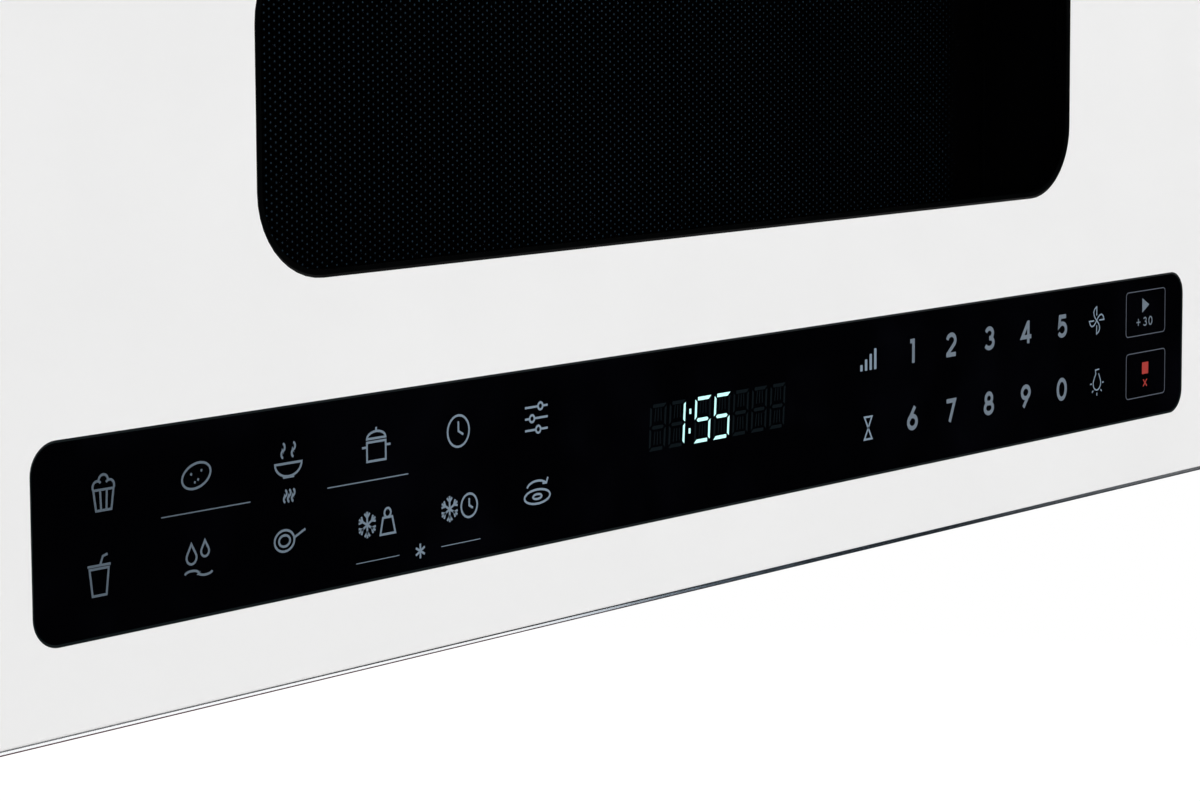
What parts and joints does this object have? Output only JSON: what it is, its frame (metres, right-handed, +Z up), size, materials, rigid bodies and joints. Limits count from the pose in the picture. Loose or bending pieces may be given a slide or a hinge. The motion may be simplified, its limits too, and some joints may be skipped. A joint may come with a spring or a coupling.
{
  "type": "over the range microwave",
  "caption": "Over the range microwave with a side-swinging full-width door, a control strip in the door, a bar handle, a turntable, and grease filters and lamps beneath.",
  "frame": {"origin": "on the base, in the middle of the object's box", "axes": "+X to the right seen from the front, +Y to the wall behind, +Z up"},
  "size_m": [0.759, 0.442, 0.437],
  "materials": {
    "white_enamel": "matte white powder coat",
    "casing_paint": "satin light paint on sheet steel",
    "zinc_steel": "galvanised sheet steel",
    "cavity_enamel": "smooth light grey enamel",
    "inner_frame_paint": "black painted steel",
    "bright_trim": "bright metal strip",
    "brushed_handle": "brushed stainless steel",
    "screw_steel": "plain steel screws",
    "black_glass": "black backed tempered glass",
    "clear_pane": "clear pane",
    "tray_glass": "clear tempered glass",
    "black_plastic": "moulded black plastic",
    "white_plastic": "moulded pale plastic",
    "circuit_board": "solder mask with components",
    "lamp_board": "white board with lamps",
    "filter_aluminium": "plain aluminium",
    "filter_charcoal": "charcoal granules in a frame",
    "motor_steel": "dark steel laminations and can",
    "mica": "mica sheet"
  },
  "bodies": {
    "chassis": {"back_plate": "zinc_steel", "base_pan": "casing_paint", "blower_housing": "zinc_steel", "blower_motor": "motor_steel", "cavity_back": "cavity_enamel", "cavity_floor": "cavity_enamel", "cavity_wrap": "cavity_enamel", "charcoal_filter": "filter_charcoal", "chassis_screws": "zinc_steel", "cooling_fan_frame": "black_plastic", "cord_bushing": "black_plastic", "door_switches": "black_plastic", "exhaust_collar": "zinc_steel", "front_frame": "casing_paint", "hinge_bracket_lower": "zinc_steel", "hinge_bracket_upper": "zinc_steel", "hv_capacitor": "filter_aluminium", "hv_transformer": "motor_steel", "interlock_bracket": "black_plastic", "led_lamps": "lamp_board", "magnetron": "filter_aluminium", "mounting_plate": "zinc_steel", "outer_wrap": "casing_paint", "power_board": "circuit_board", "turntable_motor": "motor_steel", "vent_grille": "white_enamel", "waveguide": "zinc_steel", "waveguide_cover": "mica"},
    "door": {"door_skin": "white_enamel", "door_trim": "bright_trim", "door_liner": "black_plastic", "door_inner_frame": "inner_frame_paint", "window_glass": "black_glass", "window_screen": "inner_frame_paint", "inner_pane": "clear_pane", "control_glass": "black_glass", "control_board": "circuit_board", "display_module": "black_plastic", "handle_bar": "brushed_handle", "handle_posts": "brushed_handle", "handle_screws": "screw_steel", "door_bushings": "white_plastic", "latch_spring": "zinc_steel"},
    "latch": {"latch_slider": "white_plastic"},
    "turntable": {"turntable_coupler": "white_plastic"},
    "tray": {"glass_tray": "tray_glass"},
    "rollers_ring": {"roller_ring": "white_plastic"},
    "roller_a": {"roller_1": "white_plastic"},
    "roller_b": {"roller_2": "white_plastic"},
    "roller_c": {"roller_3": "white_plastic"},
    "blower": {"blower_wheels": "white_plastic"},
    "cooling_fan": {"cooling_fan_blades": "white_plastic"},
    "filter_left": {"grease_filter_left": "filter_aluminium"},
    "filter_right": {"grease_filter_right": "filter_aluminium"},
    "lamp_lid": {"lamp_cover": "clear_pane"},
    "damper": {"damper_flap": "zinc_steel"},
    "plunger_a": {"switch_plunger_1": "white_plastic"},
    "plunger_b": {"switch_plunger_2": "white_plastic"},
    "plunger_c": {"switch_plunger_3": "white_plastic"}
  },
  "joints": [
    {"name": "door_hinge", "type": "hinge", "parent": "chassis", "child": "door", "pos_m": [-0.3675, -0.16, 0.0055], "axis": [0, 0, -1], "range_deg": [0, 105]},
    {"name": "latch_slide", "type": "slide", "parent": "door", "child": "latch", "axis": [0, 0, 1], "range_m": [0, 0.006], "stiffness_N_per_m": 400, "springref_m": -0.004, "deforming": ["latch_spring"]},
    {"name": "turntable_spin", "type": "hinge", "parent": "chassis", "child": "turntable", "pos_m": [-0.06, 0.0392, 0.084], "axis": [0, 0, 1], "continuous": true},
    {"name": "tray_lift", "type": "slide", "parent": "turntable", "child": "tray", "axis": [0, 0, 1], "range_m": [0, 0.03]},
    {"name": "ring_spin", "type": "hinge", "parent": "chassis", "child": "rollers_ring", "pos_m": [-0.06, 0.0392, 0.084], "axis": [0, 0, 1], "continuous": true},
    {"name": "roller_a_spin", "type": "hinge", "parent": "rollers_ring", "child": "roller_a", "pos_m": [-0.06, 0.0392, 0.091], "axis": [0, 1, 0], "continuous": true},
    {"name": "roller_b_spin", "type": "hinge", "parent": "rollers_ring", "child": "roller_b", "pos_m": [-0.06, 0.0392, 0.091], "axis": [-0.866, -0.5, 0], "continuous": true},
    {"name": "roller_c_spin", "type": "hinge", "parent": "rollers_ring", "child": "roller_c", "pos_m": [-0.06, 0.0392, 0.091], "axis": [0.866, -0.5, 0], "continuous": true},
    {"name": "blower_spin", "type": "hinge", "parent": "chassis", "child": "blower", "pos_m": [0, 0.15, 0.3665], "axis": [1, 0, 0], "continuous": true},
    {"name": "cooling_fan_spin", "type": "hinge", "parent": "chassis", "child": "cooling_fan", "pos_m": [0.29, 0.18, 0.154], "axis": [0, 1, 0], "continuous": true},
    {"name": "filter_left_slide", "type": "slide", "parent": "chassis", "child": "filter_left", "axis": [0, 1, 0], "range_m": [0, 0.012]},
    {"name": "filter_right_slide", "type": "slide", "parent": "chassis", "child": "filter_right", "axis": [0, 1, 0], "range_m": [0, 0.012]},
    {"name": "lamp_cover_hinge", "type": "hinge", "parent": "chassis", "child": "lamp_lid", "pos_m": [0, -0.065, 0.0028], "axis": [1, 0, 0], "range_deg": [0, 85]},
    {"name": "damper_hinge", "type": "hinge", "parent": "chassis", "child": "damper", "pos_m": [0, 0.1788, 0.431], "axis": [-1, 0, 0], "range_deg": [0, 75]},
    {"name": "switch_a_press", "type": "slide", "parent": "chassis", "child": "plunger_a", "axis": [0, 1, 0], "range_m": [0, 0.0025], "stiffness_N_per_m": 200, "springref_m": -0.001},
    {"name": "switch_b_press", "type": "slide", "parent": "chassis", "child": "plunger_b", "axis": [0, 1, 0], "range_m": [0, 0.0025], "stiffness_N_per_m": 200, "springref_m": -0.001},
    {"name": "switch_c_press", "type": "slide", "parent": "chassis", "child": "plunger_c", "axis": [0, 1, 0], "range_m": [0, 0.0025], "stiffness_N_per_m": 200, "springref_m": -0.001}
  ],
  "couplings": [
    {"joint": "ring_spin", "follows": "turntable_spin", "ratio": 0.5},
    {"joint": "roller_a_spin", "follows": "turntable_spin", "ratio": -7.1429},
    {"joint": "roller_b_spin", "follows": "turntable_spin", "ratio": -7.1429},
    {"joint": "roller_c_spin", "follows": "turntable_spin", "ratio": -7.1429}
  ]
}
